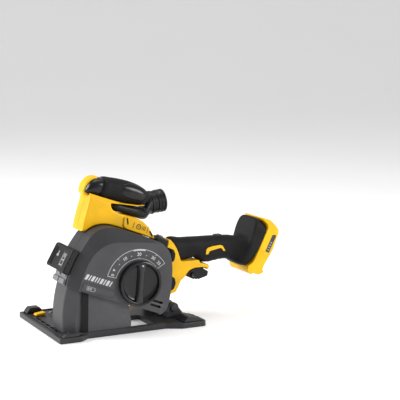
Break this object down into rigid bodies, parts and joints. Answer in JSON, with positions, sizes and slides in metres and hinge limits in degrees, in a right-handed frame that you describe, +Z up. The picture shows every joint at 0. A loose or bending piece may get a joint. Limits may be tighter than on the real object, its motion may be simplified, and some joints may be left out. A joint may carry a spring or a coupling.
{
  "type": "wall chaser",
  "caption": "Cordless wall chaser with a blade guard that pivots down on a flat shoe, a side depth dial, a front palm grip, a rear trigger handle and a dust outlet.",
  "frame": {"origin": "on the floor, in the middle of the object's box", "axes": "+X towards the battery foot, -Y on the depth dial side, +Z up; the tool is stored at rest, tipped up on its plunge pin"},
  "size_m": [0.4248, 0.2, 0.2503],
  "materials": {
    "yellow_plastic": "satin",
    "graphite_plastic": "satin",
    "black_plastic": "satin",
    "soft_grip": "matte",
    "grey_plastic": "satin",
    "steel": "ground",
    "blackened_steel": "blackened",
    "cast_aluminium": "cast",
    "copper_winding": "varnished"
  },
  "bodies": {
    "shoe": {"shoe_plate": "graphite_plastic", "lower_guard": "graphite_plastic", "shoe_hinge": "graphite_plastic", "hinge_pin": "steel", "corner_pad_front_near": "graphite_plastic", "corner_pad_front_far": "graphite_plastic", "corner_pad_rear_near": "graphite_plastic", "corner_pad_rear_far": "graphite_plastic", "cut_marker": "yellow_plastic"},
    "tool": {"guard_near": "graphite_plastic", "guard_far": "graphite_plastic", "name_plate": "graphite_plastic", "lock_plate": "grey_plastic", "bumper_upper": "soft_grip", "bumper_lower": "soft_grip", "gear_case": "cast_aluminium", "gear_cover": "cast_aluminium", "motor_housing": "yellow_plastic", "motor_cap": "black_plastic", "stator": "copper_winding", "spindle_bearing_near": "steel", "spindle_bearing_far": "steel", "rotor_bearing_front": "steel", "rotor_bearing_rear": "steel", "pivot_bracket": "cast_aluminium", "plunge_spring": "steel", "upper_housing_near": "yellow_plastic", "upper_housing_far": "yellow_plastic", "handle_frame_near": "yellow_plastic", "handle_frame_far": "yellow_plastic", "handle_grip": "soft_grip", "switch_module": "black_plastic", "control_module": "grey_plastic", "battery_foot": "yellow_plastic", "terminal_block": "black_plastic", "handle_inlay": "yellow_plastic", "trigger_pin": "steel", "trigger_spring": "steel", "lock_seat": "black_plastic", "front_grip_core": "yellow_plastic", "grip_end_sleeve": "black_plastic", "grip_dome": "soft_grip", "dust_elbow": "black_plastic"},
    "spindle_set": {"spindle": "steel", "spindle_gear": "steel", "inner_flange": "blackened_steel", "blade_far": "steel", "blade_spacer": "steel", "blade_near": "steel", "flange_nut": "blackened_steel"},
    "rotor_set": {"rotor": "blackened_steel", "pinion": "steel", "fan": "black_plastic"},
    "dial": {"depth_dial": "black_plastic", "depth_cam": "steel"},
    "trigger": {"trigger": "black_plastic"},
    "lock_off": {"lock_off_button": "black_plastic"},
    "latch": {"latch_slider": "black_plastic"},
    "spindle_lock": {"spindle_lock_button": "grey_plastic"},
    "cuff": {"dust_cuff": "black_plastic"}
  },
  "joints": [
    {"name": "plunge_hinge", "type": "hinge", "parent": "shoe", "child": "tool", "pos_m": [0.00755, 0, 0.025], "axis": [0, -1, 0], "range_deg": [0, 21.4], "stiffness_Nm_per_rad": 3, "springref_deg": -85.94},
    {"name": "spindle_spin", "type": "hinge", "parent": "tool", "child": "spindle_set", "pos_m": [-0.11274, 0, 0.07708], "axis": [0, 1, 0], "continuous": true},
    {"name": "rotor_spin", "type": "hinge", "parent": "tool", "child": "rotor_set", "pos_m": [-0.091, 0.05, 0.08943], "axis": [0, 1, 0], "continuous": true},
    {"name": "depth_dial_turn", "type": "hinge", "parent": "tool", "child": "dial", "pos_m": [-0.07042, -0.09, 0.08284], "axis": [0, -1, 0], "range_deg": [-65, 75]},
    {"name": "trigger_pull", "type": "hinge", "parent": "tool", "child": "trigger", "pos_m": [0.06955, -0.02, 0.0895], "axis": [0, 1, 0], "range_deg": [0, 7], "stiffness_Nm_per_rad": 0.6, "springref_deg": -8.59},
    {"name": "lock_off_push", "type": "slide", "parent": "trigger", "child": "lock_off", "axis": [0, 1, 0], "range_m": [0, 0.004], "stiffness_N_per_m": 300, "springref_m": -0.002},
    {"name": "latch_slide", "type": "slide", "parent": "tool", "child": "latch", "axis": [0, 1, 0], "range_m": [0, 0.006]},
    {"name": "spindle_lock_push", "type": "slide", "parent": "tool", "child": "spindle_lock", "axis": [-0.3649, 0, -0.9311], "range_m": [0, 0.0025], "stiffness_N_per_m": 400, "springref_m": -0.002},
    {"name": "dust_cuff_swivel", "type": "hinge", "parent": "tool", "child": "cuff", "pos_m": [-0.0139, 0, 0.19774], "axis": [0.9934, 0, 0.1149], "continuous": true}
  ],
  "couplings": [
    {"joint": "rotor_spin", "follows": "spindle_spin", "ratio": -2.8462}
  ]
}
